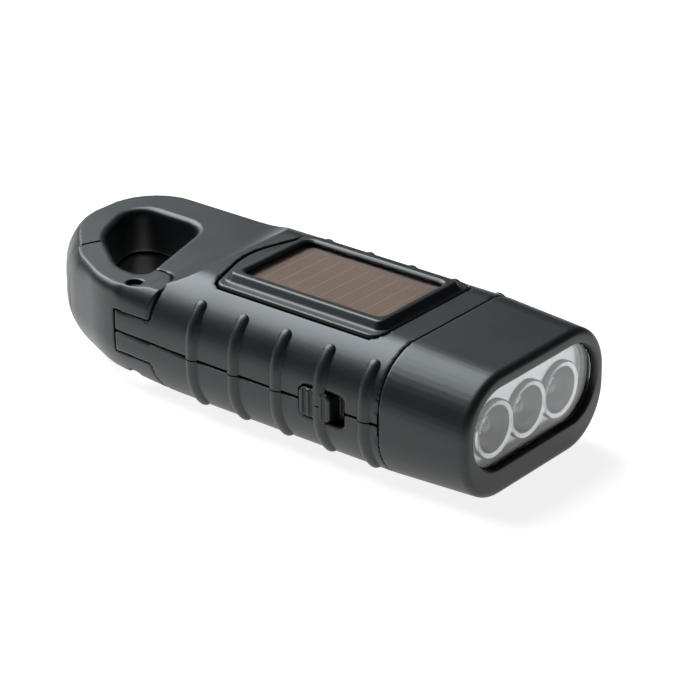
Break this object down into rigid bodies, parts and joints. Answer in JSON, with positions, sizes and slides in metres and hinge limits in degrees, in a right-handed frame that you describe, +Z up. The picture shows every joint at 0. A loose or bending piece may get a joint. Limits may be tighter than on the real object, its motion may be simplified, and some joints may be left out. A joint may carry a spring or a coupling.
{
  "type": "hand crank flashlight",
  "caption": "Pocket flashlight with a fold-out hand crank underneath, a solar panel on top, LEDs behind a clear lens and a carabiner loop with a sprung gate at the tail.",
  "frame": {"origin": "middle of the bounding box in plan, on the resting surface under the housing", "axes": "+X to the lamp head, +Y to the side without the switch, +Z up through the solar panel"},
  "size_m": [0.13, 0.052, 0.0312],
  "materials": {
    "shell": "fine grained satin",
    "head": "grained matte",
    "frame": "satin",
    "knob": "satin",
    "window": "clear",
    "lens": "clear",
    "cell": "thin film with fine lines",
    "reflector": "bright",
    "led": "clear dome",
    "board": "solder mask",
    "chip": "matte",
    "gear": "natural",
    "steel": "brushed",
    "copper": "enamelled winding"
  },
  "bodies": {
    "housing": {"upper_shell": "shell", "lower_shell": "shell", "head_shell": "head", "solar_frame": "frame", "housing_screw_1": "steel", "housing_screw_2": "steel", "housing_screw_3": "steel", "housing_screw_4": "steel", "tail_screw": "steel", "gate_pin": "steel", "gate_spring": "steel", "compound_axle": "steel", "plate_screw_1": "steel", "plate_screw_2": "steel", "plate_screw_3": "steel", "generator_case": "steel", "stator_lower": "steel", "stator_upper": "steel", "battery_cell_1": "steel", "battery_cell_2": "steel", "battery_cell_3": "steel", "solar_window": "window", "lens": "lens", "solar_cell": "cell", "reflector": "reflector", "led_board": "board", "main_board": "board", "led_1": "led", "led_2": "led", "led_3": "led", "switch_body": "chip", "control_chip": "chip", "storage_capacitor": "chip", "gear_plate": "gear", "generator_coil": "copper"},
    "gate": {"gate": "shell"},
    "switch": {"switch_knob": "knob"},
    "crank": {"crank_disc": "knob", "drive_gear": "gear", "crank_screw": "steel", "handle_pin": "steel"},
    "handle": {"handle_post": "knob", "handle_cap": "knob"},
    "grip": {"handle_grip": "knob"},
    "compound": {"compound_gear": "gear"},
    "rotor": {"rotor_magnet": "chip", "rotor_shaft": "steel", "rotor_pinion": "gear"}
  },
  "joints": [
    {"name": "gate_swing", "type": "hinge", "parent": "housing", "child": "gate", "pos_m": [-0.0272, -0.02056, 0.0148], "axis": [0, 0, 1], "range_deg": [-24, 0], "stiffness_Nm_per_rad": 0.05, "springref_deg": 6.88, "deforming": ["gate_spring"]},
    {"name": "switch_slide", "type": "slide", "parent": "housing", "child": "switch", "axis": [1, 0, 0], "range_m": [0, 0.0033]},
    {"name": "crank_spin", "type": "hinge", "parent": "housing", "child": "crank", "pos_m": [0.01, 0, 0.005], "axis": [0, 0, 1], "continuous": true},
    {"name": "handle_flip", "type": "hinge", "parent": "crank", "child": "handle", "pos_m": [0.022, 0, 0.0043], "axis": [0, -1, 0], "range_deg": [0, 90]},
    {"name": "grip_spin", "type": "hinge", "parent": "handle", "child": "grip", "pos_m": [0.01, 0, 0.0043], "axis": [1, 0, 0], "continuous": true},
    {"name": "compound_spin", "type": "hinge", "parent": "housing", "child": "compound", "pos_m": [0.0308, 0, 0.014], "axis": [0, 0, 1], "continuous": true},
    {"name": "rotor_spin", "type": "hinge", "parent": "housing", "child": "rotor", "pos_m": [0.01498, 0.00771, 0.018], "axis": [0, 0, 1], "continuous": true}
  ],
  "couplings": [
    {"joint": "compound_spin", "follows": "crank_spin", "ratio": -3.3333},
    {"joint": "rotor_spin", "follows": "crank_spin", "ratio": 8.8889}
  ]
}
